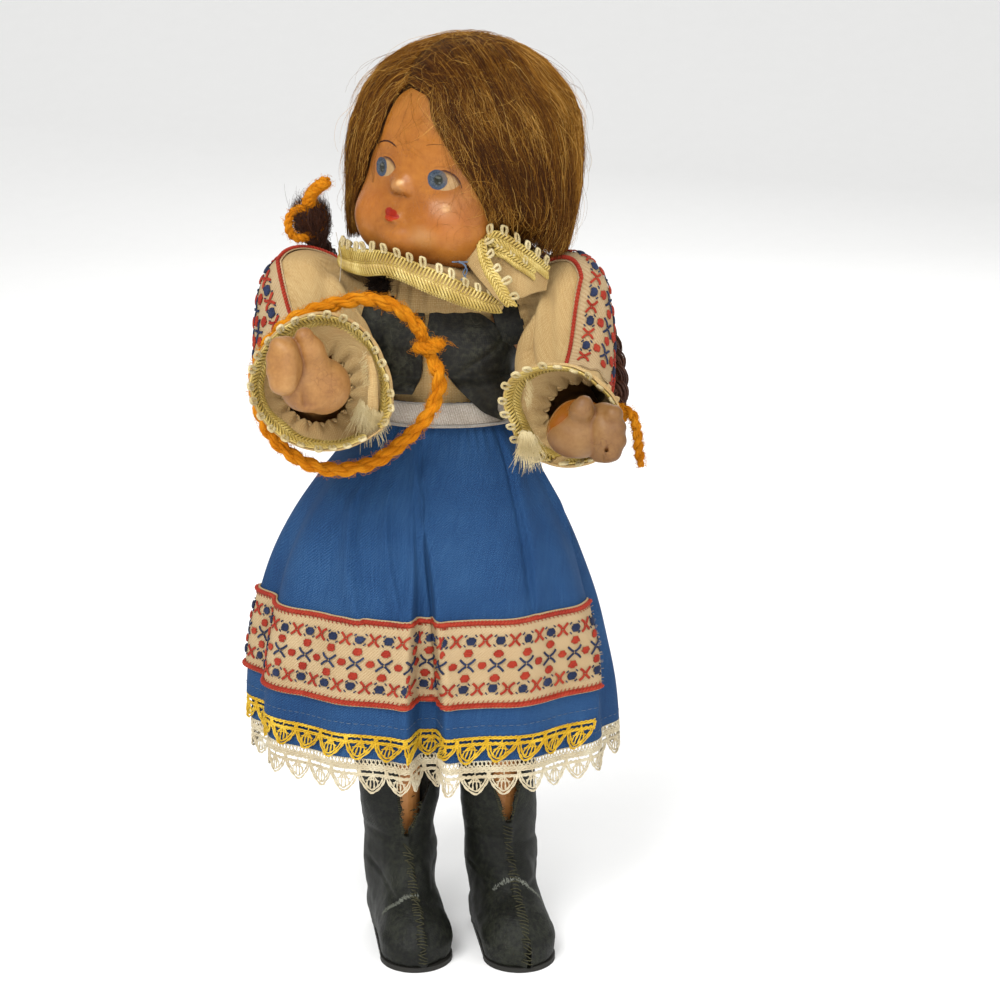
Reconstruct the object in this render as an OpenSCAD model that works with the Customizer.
// A small strung composition doll in folk costume, standing.
// Millimetres. Origin on the floor under the middle of the doll, +Z up, the doll faces -Y; its right side is -X.

/* [Head] */
// Turn of the head towards the doll's right, degrees
head_turn = 38; // [25:1:45]
// Sideways lean of the head on its neck, degrees
head_tilt = 8; // [5:0.5:9]
// Greatest radius of the head about its own axis
head_r = 27.4; // [26.5:0.1:27.6]
// Wall of the hollow head
head_wall = 3.6; // [3:0.2:4.4]
// Radius of the hair at its fullest
hair_r = 35; // [33:0.5:36]
// Radius of a braid
braid_r = 4.6; // [3.8:0.2:5]

/* [Torso] */
// Radius of the neck and of its rounded top
neck_r = 8; // [7:0.25:8.5]
// Play between the neck's round top and the seat in the head
seat_gap = 0.25; // [0.2:0.05:0.4]
// Radius of the shoulder discs
shoulder_r = 9; // [8:0.25:9.5]
// Radius of the hip discs
hip_r = 12; // [11:0.25:12]
// Play between a limb's disc and the torso
disc_gap = 0.3; // [0.2:0.05:0.5]
// Radius of the holes that the elastic passes through
cord_hole_r = 3.2; // [3:0.1:3.4]

/* [Clothes] */
// Thickness of the cloth
cloth_t = 0.8; // [0.5:0.1:0.9]
// Height of the skirt's hem above the floor
skirt_hem_z = 72; // [70:1:78]
// Depth of the skirt's pleats at the hem
pleat_d = 1.6; // [0.5:0.1:2]
// Number of pleats round the skirt
pleat_n = 12; // [8:4:16]
// Height of the apron's hem above the floor
apron_hem_z = 82; // [80:0.5:86]
// Lower edge of the woven band on the apron
band_z = 92; // [88:1:96]
// Width of the woven band
band_w = 27; // [22:1:30]
// Depth of the apron's crocheted edge
apron_lace_h = 6.5; // [4:0.5:8]
// Depth of the skirt's crocheted edge
skirt_lace_h = 8; // [4:0.5:8]
// Width of the waist ribbon
waist_w = 9; // [6:0.5:9]

/* [Boots] */
// Height of the boots at the back
boot_h = 66; // [60:1:67]
// Radius of a boot at its top
boot_r = 13.2; // [12.5:0.1:13.4]
// Turn of both boots towards the doll's left, degrees
boot_turn = 13; // [8:1:16]
// Thickness of a sole
sole_t = 1.6; // [1:0.2:2]

/* [Yarn] */
// Thickness of the orange wool
yarn_d = 4.6; // [3.6:0.2:4.8]

/* [Hidden] */
shift_y = 14;               // puts the origin under the middle of the doll's whole outline
$fn = 64;

neck_c = [2, 0, 219];       // centre of the neck's round top
shoulder_c = [27, 0, 203];  // centre of the left shoulder disc
shoulder_lean = 15;         // the shoulder axes rise outwards by this much
hip_z = 134;                // height of the hip axis
crotch_x = 7.2;             // half the torso's width between the legs
skin_c = "#b9835c"; cream_c = "#e4d3b4"; gold_c = "#d6c48a"; blue_c = "#2f5fa3";
hair_c = "#8a5f38"; boot_c = "#2c3230"; orange_c = "#e8870f";

// ---- small vector and ring functions ----
function unit(v) = v / norm(v);
function mix(a, b, t) = a + (b - a) * t;
// a ring of k points about c, square to n; its first point lies towards the reference ref
function ring(c, n, r, k, ref = [0, 0, 1], a0 = 0, a1 = 360, full = true) =
    let (w = unit(n), v = unit(cross(w, ref)), u = cross(v, w))
    [for (j = [0:full ? k - 1 : k])
        let (a = a0 + (a1 - a0) * j / k) c + r * (cos(a) * u + sin(a) * v)];
function along(p, i) = p[min(i + 1, len(p) - 1)] - p[max(i - 1, 0)];
function flat(a) = [for (x = a) for (y = x) y];

// closed solid between rings of equal length, from the first ring to the last
module rings_solid(rings) {
    m = len(rings); k = len(rings[0]);
    polyhedron(points = flat(rings), faces = concat(
        [for (i = [0:m - 2]) for (j = [0:k - 1]) let (b = (j + 1) % k)
            each [[i*k + j, (i+1)*k + j, (i+1)*k + b], [i*k + j, (i+1)*k + b, i*k + b]]],
        [for (j = [1:k - 2]) [0, j, j + 1]],
        [for (j = [1:k - 2]) [(m-1)*k, (m-1)*k + j + 1, (m-1)*k + j]]));
}
// closed sheet of cloth between an outer and an inner set of rings; round = it goes all the way round
module sheet_solid(o, n, round = true) {
    m = len(o); k = len(o[0]); q = m * k; last = round ? k - 1 : k - 2;
    polyhedron(points = concat(flat(o), flat(n)), faces = concat(
        [for (i = [0:m - 2]) for (j = [0:last]) let (A = i*k + j, B = i*k + (j+1) % k, C = B + k, D = A + k)
            each [[A, D, C], [A, C, B], [q + A, q + C, q + D], [q + A, q + B, q + C]]],
        [for (j = [0:last]) let (A = j, B = (j+1) % k, D = (m-1)*k + j, C = (m-1)*k + (j+1) % k)
            each [[A, B, q + B], [A, q + B, q + A], [C, D, q + D], [C, q + D, q + C]]],
        round ? [] : [for (i = [0:m - 2]) let (A = i*k, D = A + k, B = A + k - 1, C = B + k)
            each [[D, A, q + A], [D, q + A, q + D], [B, C, q + C], [B, q + C, q + B]]]));
}
module tube(path, r, k = 8, ref = [0, 0, 1]) {
    rings_solid([for (i = [0:len(path) - 1])
        ring(path[i], along(path, i), is_list(r) ? r[i] : r, k, ref)]);
}

// ---- frames ----
module in_head() translate(neck_c) rotate([0, head_tilt, 0]) rotate([0, 0, -head_turn]) children();
module at_shoulder(s) translate([s * shoulder_c[0], 0, shoulder_c[2]])
    rotate([0, s * (90 - shoulder_lean), 0]) children();
function out_of(s) = [s * cos(shoulder_lean), 0, sin(shoulder_lean)];
function shoulder(s) = [s * shoulder_c[0], 0, shoulder_c[2]];

// ---- head: a solid of revolution about its own axis, hollow, with the features set on ----
head_profile = [[9.4, 3.2], [15, 4.4], [19, 7], [22.4, 11], [24.6, 15.5], [26.4, 21], [head_r - 0.2, 27],
    [head_r, 33], [head_r - 0.3, 39], [26, 46], [22.8, 53], [18, 59], [11, 63.5], [5, 65]];
module head() color(skin_c) in_head() difference() {
    union() {
        rotate_extrude() polygon(concat([[0, 3.2]], head_profile, [[0, 65.2]]));
        translate([0, -26.9, 25.5]) sphere(2.6, $fn = 32);                       // nose
        translate([0, -14.5, 16.5]) sphere(15, $fn = 48);                        // mouth and chin
        for (s = [-1, 1]) translate([s * 8.3, -10, 17.5]) sphere(14, $fn = 48);  // cheeks
        for (s = [-1, 1]) translate([s * 25.6, 2, 27]) sphere(2.8, $fn = 32);    // ears
    }
    // hollow inside, and the seat for the neck's round top
    translate([0, 0, 12.4]) rotate_extrude() polygon([[0, 0], [12, 0], [20, 4], [head_r - head_wall, 14],
        [head_r - head_wall, 27], [18, 40], [8, 48], [0, 49]]);
    sphere(neck_r + seat_gap);
    translate([0, 0, 6]) cylinder(r = 5, h = 8);
}
module neck_dowel() color("#c8a06a") in_head() rotate([0, 0, head_turn]) translate([0, 0, 14.4])
    rotate([90, 0, 0]) cylinder(r = 2, h = 19, center = true);
module eye_ring(R, w) rotate([90, 0, 0]) rotate_extrude() translate([R, 0]) circle(r = w, $fn = 16);
module neck_hook() color("silver") in_head() rotate([0, 0, head_turn]) {
    translate([0, 0, 14.4]) eye_ring(2.45, 0.4);
    translate([0, 0, -2.3]) cylinder(r = 0.4, h = 14.2, $fn = 16);
    translate([0, 0, -4]) eye_ring(1.5, 0.4);
}

// radius of the bare head at a height on its own axis
function head_at(h) = lookup(h, [for (p = head_profile) [p[1], p[0]]]);
// lower edge of the hair round the head: 270 is the middle of the face
function hair_low(a) = let (d = abs(((a - 272 + 540) % 360) - 180))
    d < 34 ? 57 - 4 * pow(d / 34, 2) : d < 60 ? mix(53, 18, (d - 34) / 26) : d < 130 ? 18 : mix(18, 12, (d - 130) / 50);
function hair_at(h) = lookup(h, [[5, 31], [12, 33], [20, 34], [30, hair_r], [40, hair_r], [50, 33], [58, 28.5], [65, 20], [69.5, 10], [71, 2]]);
function hair_ring(s, off) = [for (j = [0:39]) let (a = j * 9, lo = hair_low(a),
    h = mix(lo, 70.6 - off, s), r = off == 0 ? hair_at(h) : min(max(head_at(h - 1.5) + 1.3, head_at(h) + 1), hair_at(h) - 0.4))
    [max(r, 1.2 - off * 0.2) * cos(a), max(r, 1.2 - off * 0.2) * sin(a) + (off == 0 ? 1 : 0), h]];
module wig_hair() color(hair_c) in_head() {
    lv = [0, 0.15, 0.32, 0.5, 0.66, 0.78, 0.87, 0.94, 1];
    sheet_solid([for (s = lv) hair_ring(s, 0)], [for (s = lv) hair_ring(s, 3)]);
}
module wig_cap() color("#6e4c30") in_head() rotate_extrude() polygon([
    [head_at(46) + 0.05, 46], [head_at(53) + 0.05, 53], [head_at(59) + 0.05, 59], [11, 63.6], [5, 65.1], [0, 65.3],
    [0, 65.9], [5.1, 65.7], [11.3, 64.2], [head_at(59) + 0.6, 59.2], [head_at(53) + 0.65, 53.2], [head_at(46) + 0.65, 46]]);

braid_path_right = [[-8, 24, 226], [-15, 25.5, 219], [-23, 25.5, 214], [-31, 22, 214], [-36.5, 16, 219], [-39, 10, 226], [-40, 5, 232], [-40.5, 1, 238]];
braid_path_left = [[15, 24, 225], [26, 26, 218], [37, 24, 211], [46, 20, 203], [52, 14, 192], [54, 9, 180], [53, 4, 169], [50.5, 1, 158]];
braid_taper = [0.85, 1, 1, 1, 0.97, 0.93, 0.86, 0.72];
module braid_right() color("#4a2c20") tube(braid_path_right, braid_r * braid_taper, 10, [0.2, 0.3, 1]);
module braid_left() color("#4a2c20") tube(braid_path_left, braid_r * braid_taper, 10, [0.2, 1, 0.3]);
// the wool wound round each braid, with its loose end
module braid_tie(p, n, tail, ref) color(orange_c) {
    sheet_solid([for (h = [-1.6, 1.6]) ring(p + h * unit(n), n, braid_r + 1, 16, ref)],
        [for (h = [-1.6, 1.6]) ring(p + h * unit(n), n, braid_r + 0.05, 16, ref)]);
    tube(tail, 1.5, 8, ref);
}
module braid_tie_right() braid_tie([-39.7, 7, 229.4], [-1, -5, 6], [[-34.2, 4, 231], [-33.5, -1, 236], [-34.5, -3, 241], [-36, -4, 245]], [1, 0, 0.2]);
module braid_tie_left() braid_tie([53.2, 5, 171.5], [-1, -5, -11], [[59, 3, 172], [61, 0, 168], [61, -2, 162], [60, -3, 157]], [1, 0, 0.2]);

// ---- torso ----
ZT = [128, 134, 141, 150, 160, 172, 182, 190, 197, 202, 205.5, 208.5];
torso_x = [[128, 12], [134, 17], [141, 20], [150, 20.5], [160, 19.5], [172, 18.3], [182, 18.6], [190, 20.4], [197, 22.3], [202, 22.8], [205.5, 18.5], [208.5, 11.4]];
torso_y = [[128, 9.5], [134, 12.5], [141, 14.8], [150, 15.5], [160, 15], [172, 14], [182, 14.2], [190, 14.8], [197, 14.4], [202, 12.2], [205.5, 10.2], [208.5, 9]];
function torso_cx(z) = lookup(z, [[200, 0], [208.5, 2]]);
function torso_ring(z, off, k = 40, a0 = 0, a1 = 360, full = true) = [for (j = [0:full ? k - 1 : k])
    let (a = a0 + (a1 - a0) * j / k)
    [torso_cx(z) + (lookup(z, torso_x) + off) * cos(a), (lookup(z, torso_y) + off) * sin(a), z]];
module torso() color(skin_c) difference() {
    union() {
        difference() {
            rings_solid([for (z = ZT) torso_ring(z, 0)]);
            for (s = [-1, 1]) translate([s * crotch_x, 0, hip_z]) rotate([0, s * 90, 0])
                cylinder(r = hip_r + 0.6, h = 30);
        }
        translate([-crotch_x, 0, hip_z]) rotate([0, 90, 0]) cylinder(r = hip_r - 0.8, h = 2 * crotch_x);
        for (s = [-1, 1]) at_shoulder(s) translate([0, 0, -14 - disc_gap / 2]) cylinder(r = shoulder_r, h = 14);
        translate([neck_c[0], 0, 203]) cylinder(r = neck_r, h = neck_c[2] - 203);
        translate(neck_c) sphere(neck_r);
    }
    // hollow for the elastic: down the neck, across to both shoulders and both hips
    translate([neck_c[0], 0, 195]) cylinder(r = cord_hole_r + 0.6, h = 40);
    translate([0, 0, 150]) cylinder(r = 9, h = 49);
    translate([0, 0, hip_z]) cylinder(r = 4.4, h = 18);
    translate([-12, 0, hip_z]) rotate([0, 90, 0]) cylinder(r = cord_hole_r, h = 24);
    for (s = [-1, 1]) at_shoulder(s) translate([0, 0, -24]) cylinder(r = cord_hole_r, h = 30);
}
// two loops of elastic: one from the neck's hook to both hip hooks, one between the shoulder hooks
module body_elastic() color("#d8d2c0") tube([[1.44, 0.3, 215.05], [1.44, 0.9, 214.7], [1.44, 1.5, 213.4], [1.4, 1.9, 210], [1, 2.4, 203], [0.3, 2.7, 190],
    [0, 2.8, 170], [0, 2.8, 150], [0, 2.8, 139], [0, 2.7, 136.4], [0, 2.1, 134.7], [0, 1, 134], [0, -1, 134], [0, -2.1, 134.7], [0, -2.7, 136.4],
    [0, -2.8, 139], [0, -2.8, 150], [0, -2.8, 170], [0.3, -2.7, 190], [1, -2.4, 203], [1.4, -1.9, 210], [1.44, -1.5, 213.4], [1.44, -0.9, 214.7], [1.44, -0.3, 215.05]],
    0.6, 8, [1, 0, 0]);
arm_cord_half = [[-16.7, 0.55, 200.25], [-15.9, 1.05, 200], [-14.6, 1.2, 199.7], [-8, 1.2, 198], [0, 1.2, 197.2]];
function flipx(p) = [-p[0], p[1], p[2]];
function flipy(p) = [p[0], -p[1], p[2]];
module arm_elastic() color("#d8d2c0") tube(concat([[-16.76, 0.2, 200.26]], arm_cord_half,
    [for (i = [3:-1:0]) flipx(arm_cord_half[i])], [[16.76, 0, 200.26]],
    [for (i = [0:4]) flipx(flipy(arm_cord_half[i]))],
    [for (i = [3:-1:0]) flipy(arm_cord_half[i])], [[-16.76, -0.2, 200.26]]), 0.5, 8, [0.1, 0, 1]);

// ---- blouse, vest and collar ----
module blouse_body() color(cream_c) difference() {
    zb = [152, 160, 172, 182, 190, 197, 202, 205.5, 208.5];
    sheet_solid([for (z = zb) torso_ring(z, 0.3 + cloth_t)], [for (z = zb) torso_ring(z, 0.3)]);
    for (s = [-1, 1]) at_shoulder(s) translate([0, 0, -16]) cylinder(r = shoulder_r + 0.7, h = 34);
}
vest_off = 0.6 + cloth_t;
function vest_top(a) = 189.5 + 15.5 * pow(abs(sin(a)), 1.3);
function vest_ring(s, off) = [for (j = [0:44]) let (a = -87 + 354 * j / 44, z = mix(184, vest_top(a), s))
    [torso_cx(z) + (lookup(z, torso_x) + off) * cos(a), (lookup(z, torso_y) + off) * sin(a), z]];
module vest() color(boot_c) sheet_solid([for (s = [0, 0.25, 0.5, 0.75, 1]) vest_ring(s, vest_off + 0.5 + cloth_t)],
    [for (s = [0, 0.25, 0.5, 0.75, 1]) vest_ring(s, vest_off + 0.5)], false);
// a floppy collar lying round the neck; its left side stands up beside the cheek
function collar_out(a) = [lookup((a + 360) % 360, [[0, 32.5], [45, 27], [90, 22], [135, 24], [180, 33.5], [210, 30], [235, 29], [265, 29], [295, 29], [325, 31], [360, 32.5]]),
    lookup((a + 360) % 360, [[0, 225.6], [40, 219], [90, 215], [135, 216], [180, 225], [210, 223], [235, 221.5], [265, 217.5], [285, 216.5], [305, 221.5], [325, 229.2], [345, 228.4], [360, 225.6]])];
function collar_pt(a, t, up) = let (o = collar_out(a), r = mix(10.6, o[0], t), d = o[1] - 218.2,
    z = 218.2 + d * (d > 0 ? pow(t, 2.8) : t)) [2 + r * cos(a), r * sin(a), z + up];
module collar() color(cream_c) {
    ts = [0, 0.3, 0.55, 0.8, 1];
    sheet_solid([for (t = ts) [for (j = [0:39]) collar_pt(j * 9, t, 0)]],
        [for (t = ts) [for (j = [0:39]) collar_pt(j * 9, t, cloth_t)]]);
}
// gimp braid sewn along the collar's edge
module collar_trim() color(gold_c) {
    sheet_solid([for (t = [1.005, 1.09]) [for (j = [0:39]) collar_pt(j * 9, t, -0.2)]],
        [for (t = [1.005, 1.09]) [for (j = [0:39]) collar_pt(j * 9, t, 1.2)]]);
}

// ---- skirt, apron and waist ribbon ----
skirt_z = [72, 84, 98, 114, 130, 144, 154, 161, 168, 173.4, 181];
skirt_cx = [[72, -3], [154, -2.5], [173.4, 0], [181, 0]];
skirt_x = [[64, 58.3], [72, 58], [84, 57.2], [96, 55.6], [108, 53.2], [120, 50], [132, 45.8], [144, 40], [154, 34], [161, 29.5], [168, 24.2], [173.4, 20.7], [181, 20.6]];
skirt_y = [[64, 41.4], [72, 41], [84, 40], [96, 38.4], [108, 36.4], [120, 34], [132, 31], [144, 27.4], [154, 23.8], [161, 21.2], [168, 18.6], [173.4, 16.4], [181, 16.3]];
function pleat(a, z) = pleat_d * cos(pleat_n * (a - 90)) * max(0, min(1, (168 - z) / 60));
function skirt_ring(z, off, a0 = 0, a1 = 360, k = 72, full = true) = [for (j = [0:full ? k - 1 : k])
    let (a = a0 + (a1 - a0) * j / k, p = pleat(a, z) + off)
    [lookup(z, skirt_cx) + (lookup(z, skirt_x) + p) * cos(a), (lookup(z, skirt_y) + p) * sin(a), z]];
function hem_levels(lo) = concat([lo], [for (z = skirt_z) if (z > lo + 1) z]);
module skirt() color(blue_c) sheet_solid([for (z = hem_levels(skirt_hem_z)) skirt_ring(z, 0)],
    [for (z = hem_levels(skirt_hem_z)) skirt_ring(z, -cloth_t)]);
module skirt_lace() color("#e6ddc6") sheet_solid([for (z = [skirt_hem_z - skirt_lace_h, skirt_hem_z]) skirt_ring(z, 0)],
    [for (z = [skirt_hem_z - skirt_lace_h, skirt_hem_z]) skirt_ring(z, -cloth_t)]);
apron_a0 = 175; apron_a1 = 330; apron_k = 31; apron_off = 0.4;   // one step is 5 degrees, as on the skirt
module apron_patch(levels, inner, t) sheet_solid(
    [for (z = levels) skirt_ring(z, inner + t, apron_a0, apron_a1, apron_k, false)],
    [for (z = levels) skirt_ring(z, inner, apron_a0, apron_a1, apron_k, false)], false);
module apron() color(blue_c) apron_patch(hem_levels(apron_hem_z), apron_off, cloth_t);
module apron_band() color("#ead9b6") apron_patch([band_z, mix(band_z, band_z + band_w, 0.5), band_z + band_w], apron_off + cloth_t + 0.2, 0.6);
module apron_lace() color("#e7b521") apron_patch([apron_hem_z - apron_lace_h, apron_hem_z], apron_off, cloth_t);
module waistband() color("#b9bcc0") {
    wz = [182.8 - waist_w, 182.8];
    sheet_solid([for (z = wz) [for (p = skirt_ring(181, apron_off + cloth_t + 1.3)) [p[0], p[1], z]]],
        [for (z = wz) [for (p = skirt_ring(181, apron_off + cloth_t + 0.5)) [p[0], p[1], z]]]);
}

// ---- arms: one bent piece each, with a flat disc at the shoulder ----
elbow = [[-38, -16, 180], [41, -14, 176]];
wrist = [[-36, -47, 191.5], [43, -46, 180]];
fist = [[-37, -62, 198], [43, -61, 183]];
thumb = [[-31, -60, 202], [37.5, -58, 189]];
module arm(s, i) color(skin_c) difference() {
    union() {
        at_shoulder(s) translate([0, 0, disc_gap / 2]) cylinder(r = shoulder_r, h = 3.5);
        hull() {
            at_shoulder(s) translate([0, 0, 2]) cylinder(r = shoulder_r - 0.6, h = 3, $fn = 24);
            translate(elbow[i]) sphere(7.4, $fn = 24);
        }
        hull() { translate(elbow[i]) sphere(7.4, $fn = 24); translate(wrist[i]) sphere(5.8, $fn = 24); }
        hull() { translate(wrist[i]) sphere(5.8, $fn = 24); translate(fist[i]) sphere(8.6, $fn = 24);
            translate(fist[i] + [s * 1.5, -2, -4]) sphere(7.4, $fn = 24); }
        hull() { translate(wrist[i] + [-s * 1, -3, 3]) sphere(4.6, $fn = 24); translate(thumb[i]) sphere(3.6, $fn = 24); }
    }
    at_shoulder(s) translate([0, 0, -1]) cylinder(r = 0.46, h = 10, $fn = 16);
}
module arm_right() arm(-1, 0);
module arm_left() arm(1, 1);
module arm_hook(s) color("silver") at_shoulder(s) {
    translate([0, 0, -9.2]) cylinder(r = 0.4, h = 18, $fn = 16);
    translate([0, 0, -10.6]) eye_ring(1.5, 0.4);
}
module arm_hook_right() arm_hook(-1);
module arm_hook_left() arm_hook(1);

// ---- sleeves, as rings from the armhole to the gathered wrist: [centre, direction, radius] ----
sleeve_rings = [
    [[shoulder(-1) + 0.7 * out_of(-1), out_of(-1), 12.4], [[-33.2, -3, 199.4], [-0.93, -0.34, 0.1], 16.6], [[-36.2, -9, 196.4], [-0.45, -0.86, -0.25], 19],
     [[-37.6, -19, 186.8], [-0.1, -0.96, -0.2], 17.5], [[-37, -29, 186.8], [0.05, -1, 0.1], 14], [[-35.8, -36.5, 188.4], [0.08, -0.98, 0.16], 10.6]],
    [[shoulder(1) + 0.7 * out_of(1), out_of(1), 12.4], [[33.5, -3, 198.6], [0.93, -0.34, 0], 16.4], [[37.5, -8, 193.6], [0.5, -0.78, -0.38], 18],
     [[41, -17, 182], [0.14, -0.95, -0.25], 16.6], [[42, -28, 179.4], [0.04, -1, 0], 13.6], [[42, -36, 180.2], [-0.06, -0.99, 0.06], 10.6]]];
module sleeve(i, s) color(cream_c) sheet_solid([for (q = sleeve_rings[i]) ring(q[0], q[1], q[2], 28)],
    [for (q = sleeve_rings[i]) ring(q[0], q[1], q[2] - cloth_t, 28)]);
module sleeve_right() sleeve(0, -1);
module sleeve_left() sleeve(1, 1);
// woven ribbon let in along the outer side of each sleeve
module sleeve_band(i, a0, a1) color("#ead9b6") sheet_solid(
    [for (n = [1:4]) let (q = sleeve_rings[i][n]) ring(q[0], q[1], q[2] + 0.8, 7, [0, 0, 1], a0, a1, false)],
    [for (n = [1:4]) let (q = sleeve_rings[i][n]) ring(q[0], q[1], q[2] + 0.2, 7, [0, 0, 1], a0, a1, false)], false);
module sleeve_band_right() sleeve_band(0, 360 / 28 * 1, 360 / 28 * 8);
module sleeve_band_left() sleeve_band(1, 360 / 28 * 22, 360 / 28 * 29);

// ---- flared cuffs and the gimp inside their rims ----
cuff_rings = [
    [sleeve_rings[0][5], [[-34.6, -41.5, 190.4], [0.08, -0.98, 0.18], 15.6], [[-33, -46.3, 192.8], [0.08, -0.97, 0.21], 20.4]],
    [sleeve_rings[1][5], [[39.8, -41, 181], [-0.2, -0.96, -0.1], 14], [[36.6, -45.6, 182], [-0.25, -0.94, -0.2], 17.4]]];
module cuff(i) color(cream_c) sheet_solid([for (q = cuff_rings[i]) ring(q[0], q[1], q[2], 28)],
    [for (q = cuff_rings[i]) ring(q[0], q[1], q[2] - cloth_t, 28)]);
module cuff_right() cuff(0);
module cuff_left() cuff(1);
module cuff_trim(i) color(gold_c) {
    a = cuff_rings[i][1]; b = cuff_rings[i][2];
    sheet_solid([for (t = [0.3, 1.12]) ring(mix(a[0], b[0], t), mix(a[1], b[1], t), mix(a[2], b[2], t) - cloth_t - 0.3, 28)],
        [for (t = [0.3, 1.12]) ring(mix(a[0], b[0], t), mix(a[1], b[1], t), mix(a[2], b[2], t) - cloth_t - 1.4, 28)]);
}
module cuff_trim_right() cuff_trim(0);
module cuff_trim_left() cuff_trim(1);

// ---- loop of orange wool hung on the right forearm ----
yarn_path = [[-5, -29.5, 203.5], [-8, -30.5, 208], [-14, -32.5, 213], [-21, -34.5, 215], [-28, -36.5, 214.5], [-36, -38, 212.5], [-44, -38.5, 208.5],
    [-50, -38.5, 202], [-53.5, -38, 194], [-53.5, -37.5, 185], [-50.5, -37.5, 176], [-44.5, -38, 169.5], [-37, -38.5, 165.5], [-29, -38.5, 164.5],
    [-20, -38, 166.5], [-12, -36.5, 171.5], [-5, -34.5, 178], [-1, -32.5, 185], [0, -31, 191], [-2.2, -29.8, 196.2]];
module yarn_ring() color(orange_c) tube(yarn_path, yarn_d / 2, 10, [0, 1, 0.1]);
module yarn_knot() color(orange_c) {
    hull() translate([-3.6, -29.6, 199.9]) sphere(3.6, $fn = 20);
    tube([[-1.2, -29.8, 200.6], [2, -30, 201.4], [5, -30, 201], [7.5, -29.5, 200]], 1.5, 8);
}

// ---- legs, boots and soles ----
leg_top_x = [-17, 17];
leg_low_x = [-15, 18];
module leg(s, i) color(skin_c) difference() {
    union() {
        translate([s * (crotch_x + disc_gap), 0, hip_z]) rotate([0, s * 90, 0]) cylinder(r = hip_r, h = 6);
        hull() { translate([s * 17.2, 0, hip_z]) sphere(10.6, $fn = 24); translate([mix(leg_top_x[i], leg_low_x[i], 0.4), 0, 96]) sphere(8.8, $fn = 24); }
        hull() { translate([mix(leg_top_x[i], leg_low_x[i], 0.4), 0, 96]) sphere(8.8, $fn = 24); translate([leg_low_x[i], 0, 24]) sphere(6.4, $fn = 24); }
        translate([leg_low_x[i], 0, 0]) rotate([0, 0, boot_turn])
            hull() { translate([0, 0, 22]) sphere(6.4, $fn = 24); translate([0, 1, 9]) sphere(6, $fn = 24); translate([0, -23.5, 8.2]) sphere(5, $fn = 24); }
    }
    translate([s > 0 ? -20 + crotch_x + disc_gap : -crotch_x - disc_gap, -20, 112]) cube([20, 40, 40]);
    translate([0, s * 1.2, hip_z]) rotate([0, s * 90, 0]) cylinder(r = 0.46, h = 16, $fn = 16);
}
module leg_right() leg(-1, 0);
module leg_left() leg(1, 1);
module leg_hook(s) color("silver") {
    translate([s * 1.7, s * 1.2, hip_z]) rotate([0, s * 90, 0]) cylinder(r = 0.4, h = 13.8, $fn = 16);
    translate([0, s * 1.2, hip_z]) eye_ring(1.7, 0.4);
}
module leg_hook_right() leg_hook(-1);
module leg_hook_left() leg_hook(1);
// foot part of a boot: w is taken off all round
module boot_foot(w) hull() {
    translate([0, 0.5, sole_t + w]) cylinder(r = 9.6 - w, h = 8, $fn = 28);
    translate([0, 0.5, 24]) cylinder(r = 11 - w, h = 1, $fn = 28);
    translate([0, -27, sole_t + w]) cylinder(r = 11.6 - w, h = 3, $fn = 28);
    translate([0, -26, sole_t + 7.8]) sphere(7.8 - w, $fn = 28);
}
module boot(i) color(boot_c) translate([leg_low_x[i], 0, 0]) rotate([0, 0, boot_turn]) difference() {
    union() {
        boot_foot(0);
        translate([0, 0.5, 24]) cylinder(r1 = 11.2, r2 = boot_r, h = boot_h - 24);
    }
    boot_foot(1.1);
    translate([0, 0.5, 23]) cylinder(r1 = 10.1, r2 = boot_r - 1.1, h = boot_h - 22);
    // the notch down the front of the shaft
    translate([0, 0, i == 0 ? 38 : 42]) rotate([90, 0, 0]) linear_extrude(30) polygon([[0, 0], [6.5, 40], [-6.5, 40]]);
}
module boot_right() boot(0);
module boot_left() boot(1);
// flat sole: a heel circle and a toe circle joined by their common sides
module boot_sole(i) color("#22211e") translate([leg_low_x[i], 0, 0]) rotate([0, 0, boot_turn]) union() {
    translate([0, 0.5, 0]) cylinder(r = 9.6, h = sole_t);
    translate([0, -27, 0]) cylinder(r = 11.6, h = sole_t);
    linear_extrude(sole_t) polygon([[-9.4, 1.2], [9.4, 1.2], [11.4, -26.2], [-11.4, -26.2]]);
}
module boot_sole_right() boot_sole(0);
module boot_sole_left() boot_sole(1);

// everything above is laid out round the torso's axis; the row's origin is under the middle of the whole doll
translate([0, shift_y, 0]) {
head();
neck_dowel();
neck_hook();
wig_cap();
wig_hair();
braid_right();
braid_left();
braid_tie_right();
braid_tie_left();
torso();
body_elastic();
arm_elastic();
blouse_body();
collar();
collar_trim();
vest();
waistband();
skirt();
skirt_lace();
apron();
apron_band();
apron_lace();
arm_right();
arm_left();
arm_hook_right();
arm_hook_left();
sleeve_right();
sleeve_left();
sleeve_band_right();
sleeve_band_left();
cuff_right();
cuff_left();
cuff_trim_right();
cuff_trim_left();
yarn_ring();
yarn_knot();
leg_right();
leg_left();
leg_hook_right();
leg_hook_left();
boot_right();
boot_left();
boot_sole_right();
boot_sole_left();
}
